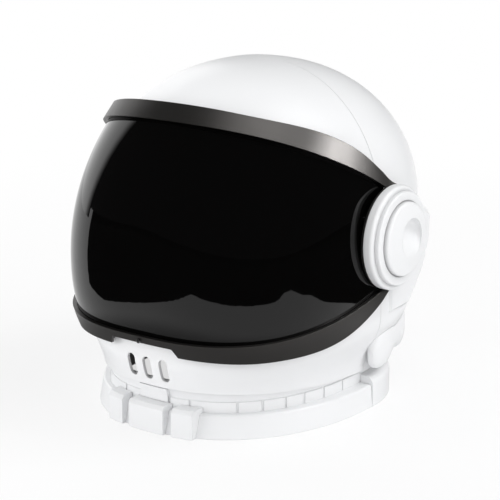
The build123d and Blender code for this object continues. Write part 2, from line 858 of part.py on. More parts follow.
def knob_cap():
    """Domed disc pressed into the knob, with a scooped recess that fades out down and ahead."""
    profile = [(knob_pocket_floor, 0), (knob_pocket_floor, cap_radius)]
    profile = profile + round_corner(cap_edge_top, cap_radius, cap_round)
    for step in range(1, 9):
        share = 1 - step / 8
        radius = (cap_radius - cap_round) * share
        profile.append((cap_edge_top + (cap_top - cap_edge_top) * (1 - share * share), radius))
    body = rod_profile(profile)
    floor = Plane(
        origin=(cap_top - scoop_depth, 0, pivot_height),
        x_dir=(0, 1, 0),
        z_dir=(1, scoop_rear_slope, scoop_rise_slope),
    )
    scoop = ear_rod(scoop_radius, cap_top - scoop_length, cap_top + scoop_length, 0, scoop_rise)
    above = extrude(floor * Rectangle(4 * cap_radius, 4 * cap_radius), amount=scoop_length)
    return body - (scoop & above)


def pivot_bush():
    """Flanged bush in the visor's ear."""
    sleeve = ear_rod(bush_radius, disc_inner_face, disc_outer_face)
    flange = ear_rod(bush_flange_radius, disc_inner_face, disc_inner_face + bush_flange_height - fit_gap)
    return sleeve + flange - ear_rod(hub_radius + fit_gap, disc_inner_face - running_gap, side_span)


def friction_ring():
    """Ring on the ear seat that brakes the visor."""
    ring = ear_rod(friction_outer_radius, ear_seat_face, ear_seat_face + friction_height)
    return ring - ear_rod(friction_inner_radius, ear_seat_face - running_gap, side_span)


def pivot_screw():
    """Pan-head screw with a socket, driven from inside the shell."""
    under_head = ear_boss_face - washer_height
    head = ear_rod(screw_head_radius, under_head - screw_head_height, under_head)
    head = fillet(head.edges().sort_by(Axis.X)[:1], screw_head_height * 0.3)
    head = head - ear_rod(socket_radius, under_head - screw_head_height - running_gap,
                          under_head - screw_head_height + socket_depth)
    return head + ear_rod(screw_radius, under_head - fit_gap, screw_end)


def screw_washer():
    """Plain washer on the ear boss."""
    ring = ear_rod(washer_radius, ear_boss_face - washer_height, ear_boss_face)
    return ring - ear_rod(screw_radius + fit_gap * 2, ear_boss_face - reach_past, side_span)


def build_seam_screws():
    """Four screws across the seam, from the rear half into the front half."""
    screws = []
    for x, z in seam_boss_places:
        shank = depth_rod(seam_screw_radius, -seam_boss_front + seam_head_height, seam_boss_rear + fit_gap, x, z)
        head = depth_rod(seam_head_radius, seam_boss_rear, seam_boss_rear + seam_head_height, x, z)
        head = fillet(head.edges().sort_by(Axis.Y)[-1:], seam_head_height * 0.4)
        screws = screws + both_sides(shank + head)
    return Compound(children=screws)


def collar_screw_rods(radius, head_radius):
    """Six screws from inside the collar's ring outwards into the shells."""
    screws = []
    inward = shell_wall + neck_ring_clearance + collar_wall
    ring_side = row_value(shell_side_shares, collar_screw_height) - inward
    for ahead in (collar_screw_offset, -collar_screw_offset):
        rise = collar_screw_height - pivot_height
        tip = ring_side + inward - shell_wall + collar_screw_bite
        shank = ear_rod(radius, ring_side - collar_head_height, tip, ahead, rise)
        head = ear_rod(head_radius, ring_side - collar_head_height, ring_side, ahead, rise)
        screws = screws + both_sides(shank + head)
    front_height, rear_height = collar_end_screw_heights
    front_reach = row_value(shell_front_shares, front_height) - inward
    rear_reach = row_value(shell_rear_shares, rear_height) - inward
    for reach, height, sense in ((front_reach, front_height, -1), (rear_reach, rear_height, 1)):
        near = sense * reach
        tip = sense * (reach + inward - shell_wall + collar_screw_bite)
        shank = depth_rod(radius, near - sense * collar_head_height, tip, 0, height)
        head = depth_rod(head_radius, near - sense * collar_head_height, near, 0, height)
        screws.append(shank + head)
    return screws


def grooved_pad(box, grooves):
    """Cushion with rounded edges, cut by its channels and seated on the shell."""
    pad = fillet(box.edges(), pad_edge)
    return cut(pad, grooves) & seat_body


def build_pads():
    """Foam cushions inside the shell: crowned, with drawn-in sides and channels."""
    width, depth, height = crown_pad_size
    place = Pos(0, 0, crown_pad_bottom + height / 2)
    box = Box(width, depth, height)
    box = fillet(box.edges().filter_by(Axis.Z), crown_pad_corner)
    box = fillet(box.edges().sort_by(Axis.Z)[:8], pad_edge)
    grooves = [depth_rod(channel_radius, -depth, depth, 0, crown_pad_bottom)]
    for sense in (-1, 1):
        rod = Rot(0, 90, 0) * Cylinder(channel_radius, 2 * width)
        grooves.append(Pos(0, sense * depth * channel_share, crown_pad_bottom) * rod)
    crown = cut(place * box, grooves) & seat_body

    width, depth, height = brow_pad_size
    box = Pos(0, -brow_pad_inner - depth / 2, 0) * Box(width, depth, height)
    grooves = []
    for sense in (-1, 1):
        rod = Cylinder(channel_radius, 2 * height)
        grooves.append(Pos(sense * width * channel_share, -brow_pad_inner, 0) * rod)
    turn = Pos(0, 0, pivot_height) * Rot(-brow_pad_angle, 0, 0)
    brow = (turn * cut(fillet(box.edges(), pad_edge), grooves)) & seat_body

    width, depth, height = nape_pad_size
    box = Pos(0, nape_pad_inner + depth / 2, nape_pad_height) * Box(width, depth, height)
    grooves = []
    for sense in (-1, 1):
        rod = Cylinder(channel_radius, 2 * height)
        grooves.append(Pos(sense * width * channel_share, nape_pad_inner, nape_pad_height) * rod)
    nape = grooved_pad(box, grooves)

    width, depth, height = side_pad_size
    box = fillet(Box(width, depth, height).edges(), pad_edge)
    groove = Pos(-width / 2, 0, 0) * (Rot(90, 0, 0) * Cylinder(channel_radius, 2 * depth))
    place = Pos(side_pad_inner + width / 2, -side_pad_ahead, side_pad_height) * Rot(0, 0, side_pad_turn)
    side = (place * (box - groove)) & seat_body
    return crown, brow, nape, side


front_shell, rear_shell = build_shells()
front_collar, rear_collar = build_collars()
collar_holes = collar_screw_rods(collar_screw_radius + fit_gap, collar_head_radius)
front_shell = cut(front_shell, collar_holes)
rear_shell = cut(rear_shell, collar_holes)
front_collar = cut(front_collar, collar_holes)
rear_collar = cut(rear_collar, collar_holes)
visor_frame, visor_lens, visor_rivets = build_visor()
crown_pad, brow_pad, nape_pad, side_pad = build_pads()

parts = {
    "front_shell": front_shell,
    "rear_shell": rear_shell,
    "neck_roll": build_neck_roll(),
    "front_collar": front_collar,
    "rear_collar": rear_collar,
    "visor_frame": visor_frame,
    "visor_lens": visor_lens,
    "visor_rivets": visor_rivets,
    "seam_screws": build_seam_screws(),
    "collar_screws": Compound(children=collar_screw_rods(collar_screw_radius, collar_head_radius)),
    "crown_pad": crown_pad,
    "brow_pad": brow_pad,
    "nape_pad": nape_pad,
}
for name, x_range in zip(block_names, block_ranges):
    parts["collar_block_" + name] = collar_block(x_range)
left_parts = {
    "knob_base": knob_base(),
    "knob_cap": knob_cap(),
    "pivot_bush": pivot_bush(),
    "friction_ring": friction_ring(),
    "pivot_screw": pivot_screw(),
    "screw_washer": screw_washer(),
    "side_pad": side_pad,
}
for name, shape in left_parts.items():
    parts[name + "_left"] = shape
    parts[name + "_right"] = other_side(shape)

boxes = [shape.bounding_box() for shape in parts.values()]
middle = (min(box.min.Y for box in boxes) + max(box.max.Y for box in boxes)) / 2
for name, shape in parts.items():
    moved = Pos(0, -middle, 0) * shape
    solids = moved.solids()
    export_step(solids[0] if len(solids) == 1 else Compound(children=solids), "parts/" + name + ".step")
print("axis at y =", -middle)
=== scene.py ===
import json
import math

import bpy
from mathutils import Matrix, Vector
from mathutils.kdtree import KDTree

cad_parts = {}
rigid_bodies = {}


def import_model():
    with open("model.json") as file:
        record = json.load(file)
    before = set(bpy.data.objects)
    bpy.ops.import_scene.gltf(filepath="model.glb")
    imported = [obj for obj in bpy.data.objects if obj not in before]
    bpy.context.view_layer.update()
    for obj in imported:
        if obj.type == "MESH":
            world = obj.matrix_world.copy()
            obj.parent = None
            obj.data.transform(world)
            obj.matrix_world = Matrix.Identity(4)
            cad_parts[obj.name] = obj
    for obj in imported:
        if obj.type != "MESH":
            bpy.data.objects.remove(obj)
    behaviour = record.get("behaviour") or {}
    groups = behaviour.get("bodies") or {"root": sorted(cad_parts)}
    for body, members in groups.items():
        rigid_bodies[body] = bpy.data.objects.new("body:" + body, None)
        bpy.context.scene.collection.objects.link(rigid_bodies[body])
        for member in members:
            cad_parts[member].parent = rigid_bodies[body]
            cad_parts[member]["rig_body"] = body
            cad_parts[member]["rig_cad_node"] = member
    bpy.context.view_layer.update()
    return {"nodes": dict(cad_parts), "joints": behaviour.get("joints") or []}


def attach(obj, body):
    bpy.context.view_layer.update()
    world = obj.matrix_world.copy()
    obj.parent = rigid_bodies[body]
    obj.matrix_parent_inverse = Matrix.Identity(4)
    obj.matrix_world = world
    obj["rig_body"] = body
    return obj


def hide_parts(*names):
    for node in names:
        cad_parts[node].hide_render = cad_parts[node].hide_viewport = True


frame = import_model()
bpy.ops.object.select_all(action="DESELECT")


# White moulded shells: the front and the rear half of the dome, in gloss-finished hard
# plastic about 3 mm thick, joined by screws along the seam over the crown. The gloss is
# broken by a faint ripple from the mould.
def noise_of(tree, place, scale, detail):
    """Output of a Noise Texture node on the piece's own coordinates."""
    noise = tree.nodes.new("ShaderNodeTexNoise")
    noise.inputs["Scale"].default_value = scale
    noise.inputs["Detail"].default_value = detail
    tree.links.new(place.outputs["Object"], noise.inputs["Vector"])
    return noise.outputs["Fac"]


def ranged(tree, value, low, high, start=0.0, end=1.0, soft_ends=False):
    """Output of a Map Range node that takes start to end over to low to high."""
    span = tree.nodes.new("ShaderNodeMapRange")
    span.interpolation_type = "SMOOTHSTEP" if soft_ends else "LINEAR"
    span.inputs["From Min"].default_value = start
    span.inputs["From Max"].default_value = end
    span.inputs["To Min"].default_value = low
    span.inputs["To Max"].default_value = high
    tree.links.new(value, span.inputs["Value"])
    return span.outputs["Result"]


def moulded_plastic(name, colour, roughness, ripple_scale, ripple_depth, mottling, edge_radius):
    """Hard plastic with slight colour variation, uneven gloss, a fine ripple and soft edges."""
    glossier = 0.82
    duller = 1.2
    material = bpy.data.materials.new(name)
    material.use_nodes = True
    tree = material.node_tree
    shader = tree.nodes["Principled BSDF"]
    place = tree.nodes.new("ShaderNodeTexCoord")

    tint = tree.nodes.new("ShaderNodeMix")
    tint.data_type = "RGBA"
    darker = [channel * (1 - mottling) for channel in colour]
    tint.inputs["A"].default_value = (*darker, 1)
    tint.inputs["B"].default_value = (*colour, 1)
    tree.links.new(noise_of(tree, place, scale=14.0, detail=4.0), tint.inputs["Factor"])
    tree.links.new(tint.outputs["Result"], shader.inputs["Base Color"])

    smear = noise_of(tree, place, scale=32.0, detail=6.0)
    gloss = ranged(tree, smear, low=roughness * glossier, high=roughness * duller)
    tree.links.new(gloss, shader.inputs["Roughness"])

    bump = tree.nodes.new("ShaderNodeBump")
    bump.inputs["Strength"].default_value = 0.5
    bump.inputs["Distance"].default_value = ripple_depth
    tree.links.new(noise_of(tree, place, scale=ripple_scale, detail=3.0), bump.inputs["Height"])
    soft_edge = tree.nodes.new("ShaderNodeBevel")
    soft_edge.samples = 6
    soft_edge.inputs["Radius"].default_value = edge_radius
    tree.links.new(soft_edge.outputs["Normal"], bump.inputs["Normal"])
    tree.links.new(bump.outputs["Normal"], shader.inputs["Normal"])
    return material


def finish_node(node, material):
    """Gives a CAD node's object its material in every slot."""
    piece = frame["nodes"][node]
    if not piece.material_slots:
        piece.data.materials.append(material)
    for slot in piece.material_slots:
        slot.material = material


shell_white = moulded_plastic(
    "white shell plastic", colour=(0.85, 0.856, 0.866), roughness=0.33,
    ripple_scale=260.0, ripple_depth=0.00003, mottling=0.015, edge_radius=0.0007,
)
for node in ("front_shell", "rear_shell"):
    finish_node(node, shell_white)

# Neck roll: one hollow moulding in softer satin white, shaped in segments like a stuffed
# roll. It goes round the nape and is held between the rear shell and the collar.
roll_white = moulded_plastic(
    "white roll plastic", colour=(0.84, 0.845, 0.855), roughness=0.5,
    ripple_scale=700.0, ripple_depth=0.00006, mottling=0.02, edge_radius=0.0012,
)
finish_node("neck_roll", roll_white)

# Neck collar: two moulded halves in gloss white, screwed to the shells from inside. The
# front half has a lower band, a ledge and a recessed ring, and carries three raised blocks.
collar_white = moulded_plastic(
    "white collar plastic", colour=(0.85, 0.856, 0.866), roughness=0.38,
    ripple_scale=320.0, ripple_depth=0.00004, mottling=0.02, edge_radius=0.0009,
)
for node in (
    "front_collar", "rear_collar", "collar_block_left", "collar_block_centre", "collar_block_right"
):
    finish_node(node, collar_white)

# Ear discs: stepped covers moulded in the same white plastic, a little glossier, and held
# by the pivot screws from inside. Painted shade darkens their grooves and the caps' recesses.
disc_white = moulded_plastic(
    "white ear disc plastic", colour=(0.86, 0.866, 0.876), roughness=0.3,
    ripple_scale=260.0, ripple_depth=0.00002, mottling=0.012, edge_radius=0.0007,
)
disc_tree = disc_white.node_tree
disc_colour = disc_tree.nodes["Principled BSDF"].inputs["Base Color"]
unshaded_colour = disc_colour.links[0].from_socket
# Painted shade: ambient occlusion darkens the colour in the grooves and in the caps' recesses.
groove = disc_tree.nodes.new("ShaderNodeAmbientOcclusion")
groove.samples = 8
groove.inputs["Distance"].default_value = 0.011
painted_groove_shade = ranged(disc_tree, groove.outputs["AO"], low=0.62, high=1.0, start=0.35, end=0.95)
groove_shaded_colour = disc_tree.nodes.new("ShaderNodeVectorMath")
groove_shaded_colour.operation = "SCALE"
disc_tree.links.new(unshaded_colour, groove_shaded_colour.inputs[0])
disc_tree.links.new(painted_groove_shade, groove_shaded_colour.inputs["Scale"])
disc_tree.links.new(groove_shaded_colour.outputs["Vector"], disc_colour)
for side in ("left", "right"):
    finish_node("knob_base_" + side, disc_white)

# Ear caps: domed inner discs of the same white plastic, pressed into the stepped covers.
# Each has one smooth round recess behind its middle, which fades out at the bottom. A cap
# is drawn out as a flat disc in rings, and each ring then gets its place on the cap.
pivot = Vector(frame["joints"][0]["pos_m"])
cap_outer = 0.03195
cap_round = 0.0026
cap_flat = cap_outer - cap_round
cap_back = 0.147
cap_edge = 0.1558
cap_top = 0.157
cap_spokes = 128
cap_smooth_below = math.radians(40)
recess_behind = 0.0058
recess_reach = 0.0168
recess_rise = 0.0172
recess_depth = 0.0078
recess_faint = -1.0
recess_full = 0.4
recess_rings = 24
face_rings = 12
round_rings = 6


def share_of(value, start, end):
    """How far a value has come from start to end, from 0 to 1."""
    return min(max((value - start) / (end - start), 0), 1)


def cap_face(y, z):
    """How far out the cap's domed face lies at a place on it."""
    return cap_edge + (cap_top - cap_edge) * (1 - (y * y + z * z) / cap_flat ** 2)


def recess_at(rise):
    """Depth of the recess's middle line at a height in it, from -1 to 1."""
    fade = share_of(rise, recess_faint, recess_full)
    return recess_depth * fade * fade * (3 - 2 * fade)


def cap_rings():
    """Places on a cap in rings, from the recess's middle over the face to the back's edge."""
    rings = []
    for step in range(1, recess_rings + 1):
        reach = math.sin(math.pi / 2 * step / recess_rings)
        ring = []
        for spoke in range(cap_spokes):
            angle = 2 * math.pi * spoke / cap_spokes
            y = recess_behind + recess_reach * reach * math.cos(angle)
            z = recess_rise * reach * math.sin(angle)
            depth = recess_at(reach * math.sin(angle)) * math.sqrt(1 - reach ** 3)
            ring.append((cap_face(y, z) - depth, y, z))
        rings.append(ring)
    recess_edge = rings[-1]
    face_edge = []
    for x, y, z in recess_edge:
        outward = Vector((y - recess_behind, z)).normalized()
        half = recess_behind * outward.x
        far = -half + math.sqrt(half * half - recess_behind ** 2 + cap_flat ** 2)
        face_edge.append((recess_behind + far * outward.x, far * outward.y))
    for step in range(1, face_rings + 1):
        along = step / face_rings
        ring = []
        for (x, y, z), (edge_y, edge_z) in zip(recess_edge, face_edge):
            y, z = y + (edge_y - y) * along, z + (edge_z - z) * along
            ring.append((cap_face(y, z), y, z))
        rings.append(ring)
    for step in range(1, round_rings + 1):
        turn = math.pi / 2 * step / round_rings
        grown = (cap_flat + cap_round * math.sin(turn)) / cap_flat
        x = cap_edge - cap_round * (1 - math.cos(turn))
        rings.append([(x, y * grown, z * grown) for y, z in face_edge])
    widest = cap_outer / cap_flat
    rings.append([(cap_back, y * widest, z * widest) for y, z in face_edge])
    return rings


def recessed_cap(side, sense):
    """Domed disc with its recess, on the side of the helmet that sense points to."""
    rings = cap_rings()
    recess_middle = (cap_face(recess_behind, 0) - recess_at(0), recess_behind, 0)
    back_middle = (cap_back, 0, 0)
    bpy.ops.object.select_all(action="DESELECT")
    bpy.ops.mesh.primitive_circle_add(
        vertices=cap_spokes, radius=1, fill_type="TRIFAN", calc_uvs=False
    )
    cap = bpy.context.object
    cap.name = "recessed_cap_" + side
    bpy.ops.object.mode_set(mode="EDIT")
    bpy.ops.mesh.select_mode(type="EDGE")
    bpy.ops.mesh.select_all(action="DESELECT")
    bpy.ops.mesh.select_non_manifold()
    for reached in range(1, len(rings)):
        bpy.ops.mesh.extrude_edges_move()
        wider = (reached + 1) / reached
        bpy.ops.transform.resize(value=(wider, wider, 1))
    bpy.ops.mesh.extrude_edges_move()
    bpy.ops.transform.translate(value=(0, 0, -1))
    bpy.ops.mesh.merge(type="CENTER")
    bpy.ops.mesh.select_mode(type="VERT")
    bpy.ops.object.mode_set(mode="OBJECT")
    for vertex in cap.data.vertices:
        across = round(vertex.co.xy.length)
        if across:
            turned = math.atan2(vertex.co.y, vertex.co.x) / (2 * math.pi)
            spoke = round(turned * cap_spokes) % cap_spokes
            x, y, z = rings[across - 1][spoke]
        else:
            x, y, z = back_middle if vertex.co.z < 0 else recess_middle
        vertex.co = (x * sense, pivot.y + y, pivot.z + z)
    bpy.ops.object.mode_set(mode="EDIT")
    bpy.ops.mesh.select_all(action="SELECT")
    bpy.ops.mesh.normals_make_consistent(inside=False)
    bpy.ops.object.mode_set(mode="OBJECT")
    bpy.ops.object.shade_smooth_by_angle(angle=cap_smooth_below)
    cap.data.materials.append(disc_white)
    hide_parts("knob_cap_" + side)
    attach(cap, "helmet")


recessed_cap("left", 1)
recessed_cap("right", -1)

# Visor frame: the satin black moulding that carries the lens, with a band over the brow,
# one round the jaw and a disc at each ear on which it tilts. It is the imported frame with
# both bands drawn out wider in front of the ears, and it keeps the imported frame's shading.
total_height = 0.3
disc_edge = 0.0445
disc_clear = 0.051
inward_share = 0.34
upright_share = 0.94
brow_band = {
    "drawn": 0.0075, "upright": upright_share, "ahead": (-0.04, 0.12),
    "near": (0.6573, 0.602, -0.3054), "far": (0.6863, 0.7241, -0.4454),
}
jaw_band = {
    "drawn": 0.0066, "upright": -upright_share, "ahead": (-0.05, 0.13),
    "near": (0.3825, -0.2725, 0.1771), "far": (0.3663, -0.5311, 0.542),
}


def copy_of_node(node, name, merge_reach):
    """A new piece with a CAD node's mesh, its loose triangles merged."""
    bpy.ops.object.select_all(action="DESELECT")
    piece = frame["nodes"][node].copy()
    piece.data = frame["nodes"][node].data.copy()
    piece.parent = None
    piece.name = name
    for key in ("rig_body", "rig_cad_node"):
        if key in piece:
            del piece[key]
    bpy.context.scene.collection.objects.link(piece)
    bpy.context.view_layer.objects.active = piece
    piece.select_set(True)
    bpy.ops.object.mode_set(mode="EDIT")
    bpy.ops.mesh.select_all(action="SELECT")
    bpy.ops.mesh.remove_doubles(threshold=merge_reach)
    bpy.ops.object.mode_set(mode="OBJECT")
    piece.data.materials.clear()
    return piece


def edge_height(curve, ahead):
    """Height of a band's edge at a distance ahead of the hinge."""
    level, slope, bow = curve
    p = ahead / total_height
    return total_height * (level + slope * p + bow * p * p)


def packed_shading(piece, node):
    """The CAD node's shading direction for each corner of a merged copy of it."""
    packed = frame["nodes"][node].data
    packed_faces = KDTree(len(packed.polygons))
    for face in packed.polygons:
        packed_faces.insert(face.center, face.index)
    packed_faces.balance()
    shading = []
    for face in piece.data.polygons:
        twin = packed.polygons[packed_faces.find(face.center)[1]]
        for corner in face.loop_indices:
            spot = piece.data.vertices[piece.data.loops[corner].vertex_index].co
            gaps = [
                ((packed.vertices[packed.loops[twin_corner].vertex_index].co - spot).length, twin_corner)
                for twin_corner in twin.loop_indices
            ]
            shading.append(packed.corner_normals[min(gaps)[1]].vector.copy())
    return shading


visor_frame = copy_of_node("visor_frame", "satin_visor_frame", merge_reach=0.000001)
frame_shading = packed_shading(visor_frame, "visor_frame")
for vertex in visor_frame.data.vertices:
    x, y, z = vertex.co
    ahead = pivot.y - y
    band = brow_band if z > pivot.z else jaw_band
    across = share_of(z, edge_height(band["near"], ahead), edge_height(band["far"], ahead))
    along = math.sin(math.pi * share_of(ahead, *band["ahead"])) ** 2
    off_disc = share_of(math.hypot(ahead, z - pivot.z), disc_edge, disc_clear)
    direction = Vector((x, y, 0)).normalized() * -inward_share + Vector((0, 0, band["upright"]))
    vertex.co += direction * (band["drawn"] * across * along) * off_disc
visor_frame.data.normals_split_custom_set(frame_shading)
frame_black = moulded_plastic(
    "satin black frame plastic", colour=(0.012, 0.0115, 0.011), roughness=0.36,
    ripple_scale=1400.0, ripple_depth=0.00003, mottling=0.25, edge_radius=0.0006,
)
frame_gloss = frame_black.node_tree.nodes["Principled BSDF"]
frame_gloss.inputs["Specular Tint"].default_value = (1.0, 0.955, 0.925, 1)
visor_frame.data.materials.append(frame_black)
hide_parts("visor_frame")
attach(visor_frame, "visor")

# Visor lens: one deeply curved sheet of smoked plastic, polished outside, that snaps into
# the frame's pockets between the two bands.
lens_smoke = moulded_plastic(
    "polished smoked sheet", colour=(0.0015, 0.0014, 0.0014), roughness=0.035,
    ripple_scale=60.0, ripple_depth=0.000004, mottling=0.2, edge_radius=0.0004,
)
lens_gloss = lens_smoke.node_tree.nodes["Principled BSDF"]
lens_gloss.inputs["Specular IOR Level"].default_value = 0.35
finish_node("visor_lens", lens_smoke)


# Small fastenings: steel screws and washers, zinc-plated, driven from inside the shell,
# and turned steel rivets, dark finished, that pin the lens to its frame.
def plated_metal(name, colour, roughness):
    """Metal with a fine ripple and slight staining."""
    material = moulded_plastic(
        name, colour, roughness,
        ripple_scale=900.0, ripple_depth=0.00002, mottling=0.2, edge_radius=0.0002,
    )
    material.node_tree.nodes["Principled BSDF"].inputs["Metallic"].default_value = 1.0
    return material


zinc = plated_metal("zinc-plated steel", colour=(0.62, 0.62, 0.6), roughness=0.3)
for node in (
    "seam_screws", "collar_screws", "pivot_screw_left", "pivot_screw_right", "screw_washer_left",
    "screw_washer_right"
):
    finish_node(node, zinc)
dark_steel = plated_metal("dark rivet steel", colour=(0.3, 0.3, 0.3), roughness=0.22)
finish_node("visor_rivets", dark_steel)

# Bushes and brake rings: the visor turns on plain bushes of natural plastic pressed into
# its ears, and a rubber ring behind each one holds it at any height.
bush_plastic = moulded_plastic(
    "natural bush plastic", colour=(0.72, 0.7, 0.62), roughness=0.45,
    ripple_scale=500.0, ripple_depth=0.00004, mottling=0.08, edge_radius=0.0003,
)
ring_rubber = moulded_plastic(
    "brake ring rubber", colour=(0.02, 0.02, 0.02), roughness=0.75,
    ripple_scale=1600.0, ripple_depth=0.00008, mottling=0.3, edge_radius=0.0003,
)
for side in ("left", "right"):
    finish_node("pivot_bush_" + side, bush_plastic)
    finish_node("friction_ring_" + side, ring_rubber)

# Comfort pads: foam cushions in a dark knitted cover, stuck inside the dome at the crown,
# brow, nape and temples. The foam swells between its edges under the cover, and stays flat
# where it is stuck.
pad_voxel = 0.004
pad_merge_reach = 0.00002
foam_pressure = 4.0
foam_steps = 20
most_swell = 0.004
head_middle = Vector((0, 0, 0.16))
stuck_facing = 0.35
free_facing = -0.15


def combined(tree, operation, first, second):
    """Output of a Math node, fed by another node's output or by a number."""
    maths = tree.nodes.new("ShaderNodeMath")
    maths.operation = operation
    for socket, value in zip(maths.inputs, (first, second)):
        if isinstance(value, float):
            socket.default_value = value
        else:
            tree.links.new(value, socket)
    return maths.outputs["Value"]


def rows_of_stitches(tree, place, direction):
    """Output of a Wave Texture node that runs in one direction of the knit."""
    rows = tree.nodes.new("ShaderNodeTexWave")
    rows.bands_direction = direction
    rows.inputs["Scale"].default_value = 260.0
    rows.inputs["Distortion"].default_value = 1.2
    tree.links.new(place.outputs["Object"], rows.inputs["Vector"])
    return rows.outputs["Fac"]


def knitted_cover():
    """Dark knitted fabric with small rows of stitches and a slight sheen."""
    material = bpy.data.materials.new("knitted pad cover")
    material.use_nodes = True
    tree = material.node_tree
    shader = tree.nodes["Principled BSDF"]
    shader.inputs["Roughness"].default_value = 0.92
    shader.inputs["Sheen Weight"].default_value = 0.35
    shader.inputs["Sheen Roughness"].default_value = 0.5
    place = tree.nodes.new("ShaderNodeTexCoord")
    courses = rows_of_stitches(tree, place, "Z")
    wales = rows_of_stitches(tree, place, "X")
    stitch = combined(tree, "MULTIPLY", courses, wales)
    shade = tree.nodes.new("ShaderNodeMix")
    shade.data_type = "RGBA"
    shade.inputs["A"].default_value = (0.035, 0.035, 0.038, 1)
    shade.inputs["B"].default_value = (0.09, 0.09, 0.095, 1)
    tree.links.new(stitch, shade.inputs["Factor"])
    tree.links.new(shade.outputs["Result"], shader.inputs["Base Color"])
    bump = tree.nodes.new("ShaderNodeBump")
    bump.inputs["Strength"].default_value = 0.8
    bump.inputs["Distance"].default_value = 0.0004
    tree.links.new(stitch, bump.inputs["Height"])
    tree.links.new(bump.outputs["Normal"], shader.inputs["Normal"])
    return material


def swell_foam(piece):
    """Swells a pad by a cloth simulation, less where it faces the shell that it is stuck to."""
    scene = bpy.context.scene
    start = [vertex.co.copy() for vertex in piece.data.vertices]
    facing = [
        vertex.normal.dot((vertex.co - head_middle).normalized()) for vertex in piece.data.vertices
    ]
    cloth = piece.modifiers.new("foam", "CLOTH")
    cloth.settings.use_pressure = True
    cloth.settings.uniform_pressure_force = foam_pressure
    cloth.settings.effector_weights.gravity = 0.0
    for number in range(1, foam_steps + 1):
        scene.frame_set(number)
    bpy.ops.object.modifier_apply(modifier=cloth.name)
    scene.frame_set(1)
    for vertex, old, out in zip(piece.data.vertices, start, facing):
        move = vertex.co - old
        if move.length > most_swell:
            move = move.normalized() * most_swell
        vertex.co = old + move * share_of(out, stuck_facing, free_facing)


def swollen_pad(node, material):
    """Foam pad in its cover, from the pressed solid of its CAD node."""
    piece = copy_of_node(node, "padded_" + node, pad_merge_reach)
    remesh = piece.modifiers.new("even mesh", "REMESH")
    remesh.mode = "VOXEL"
    remesh.voxel_size = pad_voxel
    bpy.ops.object.modifier_apply(modifier=remesh.name)
    swell_foam(piece)
    smooth = piece.modifiers.new("rounded", "SUBSURF")
    smooth.levels = 1
    smooth.render_levels = 1
    bpy.ops.object.modifier_apply(modifier=smooth.name)
    bpy.ops.object.shade_smooth()
    piece.data.materials.append(material)
    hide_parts(node)
    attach(piece, "helmet")


cover = knitted_cover()
for node in ("crown_pad", "brow_pad", "nape_pad", "side_pad_left", "side_pad_right"):
    swollen_pad(node, cover)

# Floor: a wide pale sweep. The camera and polished surfaces see it paler than it is lit,
# and white where it runs far off, but it keeps the helmet's shadow. Reflections see a
# painted shadow on it close under the helmet.
bpy.ops.mesh.primitive_plane_add(size=60.0, location=(0, 0, 0))
floor = bpy.context.object
floor.name = "floor"
floor_paint = bpy.data.materials.new("pale floor")
floor_paint.use_nodes = True
floor_tree = floor_paint.node_tree
floor_shader = floor_tree.nodes["Principled BSDF"]
floor_shader.inputs["Base Color"].default_value = (0.95, 0.95, 0.955, 1)
floor_shader.inputs["Roughness"].default_value = 0.9
floor_place = floor_tree.nodes.new("ShaderNodeTexCoord")
floor_reach = floor_tree.nodes.new("ShaderNodeVectorMath")
floor_reach.operation = "LENGTH"
floor_tree.links.new(floor_place.outputs["Object"], floor_reach.inputs[0])
away = floor_reach.outputs["Value"]
rays = floor_tree.nodes.new("ShaderNodeLightPath").outputs
whitened = ranged(floor_tree, away, low=0.7, high=1.0, start=0.3, end=1.2, soft_ends=True)
# Painted shadow: polished surfaces mirror the floor darker close under the helmet.
painted_shadow_share = ranged(floor_tree, away, low=0.85, high=0.0, start=0.22, end=0.29, soft_ends=True)
mirrored_painted_shadow = combined(floor_tree, "MULTIPLY", rays["Is Glossy Ray"], painted_shadow_share)
glow = combined(floor_tree, "SUBTRACT", 1.0, mirrored_painted_shadow)
seen = combined(floor_tree, "MAXIMUM", rays["Is Camera Ray"], rays["Is Glossy Ray"])
seen_or_through = combined(floor_tree, "MAXIMUM", seen, rays["Is Transmission Ray"])
white_share = combined(floor_tree, "MULTIPLY", whitened, seen_or_through)
floor_white = floor_tree.nodes.new("ShaderNodeEmission")
floor_white.inputs["Color"].default_value = (1, 1, 1, 1)
floor_tree.links.new(glow, floor_white.inputs["Strength"])
floor_mix = floor_tree.nodes.new("ShaderNodeMixShader")
floor_tree.links.new(white_share, floor_mix.inputs["Fac"])
floor_tree.links.new(floor_shader.outputs["BSDF"], floor_mix.inputs[1])
floor_tree.links.new(floor_white.outputs["Emission"], floor_mix.inputs[2])
floor_tree.links.new(
    floor_mix.outputs["Shader"], floor_tree.nodes["Material Output"].inputs["Surface"]
)
floor.data.materials.append(floor_paint)

# Dark reflection sheet: a black sheet just above the floor all round the helmet, a short
# way off, that only reflections see. It is a painted dark reflection that keeps the polished
# visor dark. Its inner edge is cut wavy, and its outer edge lies far beyond the light.
dark_sheet_height = 0.001
dark_sheet_reach = 40.0
dark_sheet_edge = (
    (0.2, 0.25), (0.29, 0.163), (0.34, 0.12), (0.41, 0.07), (0.54, 0.02), (0.58, -0.04),
    (0.67, -0.12), (0.63, -0.175), (0.48, -0.22), (0.395, -0.29), (0.29, -0.366),
    (0.16, -0.42), (0.08, -0.44), (0.04, -0.46), (-0.03, -0.39), (-0.09, -0.34),
    (-0.125, -0.305), (-0.16, -0.28), (-0.21, -0.25), (-0.35, -0.225),
)
dark_sheet_from = math.radians(100)
dark_sheet_step = math.radians(-14)
dark_sheet_strips = len(dark_sheet_edge) - 1
bpy.ops.object.select_all(action="DESELECT")
bpy.ops.mesh.primitive_grid_add(
    x_subdivisions=dark_sheet_strips, y_subdivisions=1, size=2, calc_uvs=False
)
cloth = bpy.context.object
cloth.name = "dark_reflection_sheet"
